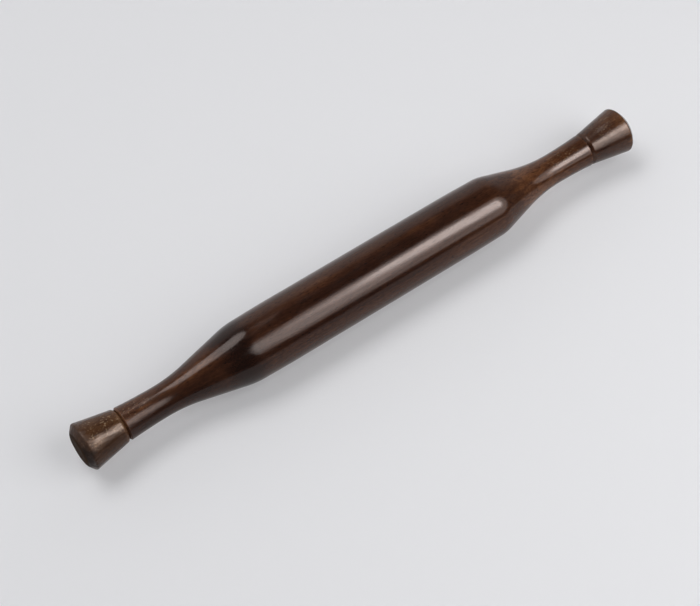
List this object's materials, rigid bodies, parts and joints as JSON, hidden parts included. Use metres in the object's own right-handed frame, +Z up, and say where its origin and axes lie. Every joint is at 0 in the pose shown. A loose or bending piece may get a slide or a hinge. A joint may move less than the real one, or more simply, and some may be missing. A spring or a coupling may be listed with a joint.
{
  "type": "rolling pin",
  "caption": "Slim turned hardwood rolling pin with a nearly straight barrel, tapering handles and flared end knobs, for rolling out flatbread and pastry dough by hand.",
  "frame": {"origin": "under the middle of the pin's length, on the surface that the barrel lies on", "axes": "+X along the pin's axis towards the right knob, +Z up"},
  "size_m": [0.33, 0.0328, 0.0328],
  "materials": {
    "body_wood": "dark streaked hardwood under satin lacquer",
    "knob_wood": "dark brown flecked hardwood under satin lacquer",
    "dowel_wood": "bare pale hardwood"
  },
  "bodies": {
    "root": {"pin_body": "body_wood", "left_knob": "knob_wood", "right_knob": "knob_wood", "left_dowel": "dowel_wood", "right_dowel": "dowel_wood"}
  },
  "joints": []
}
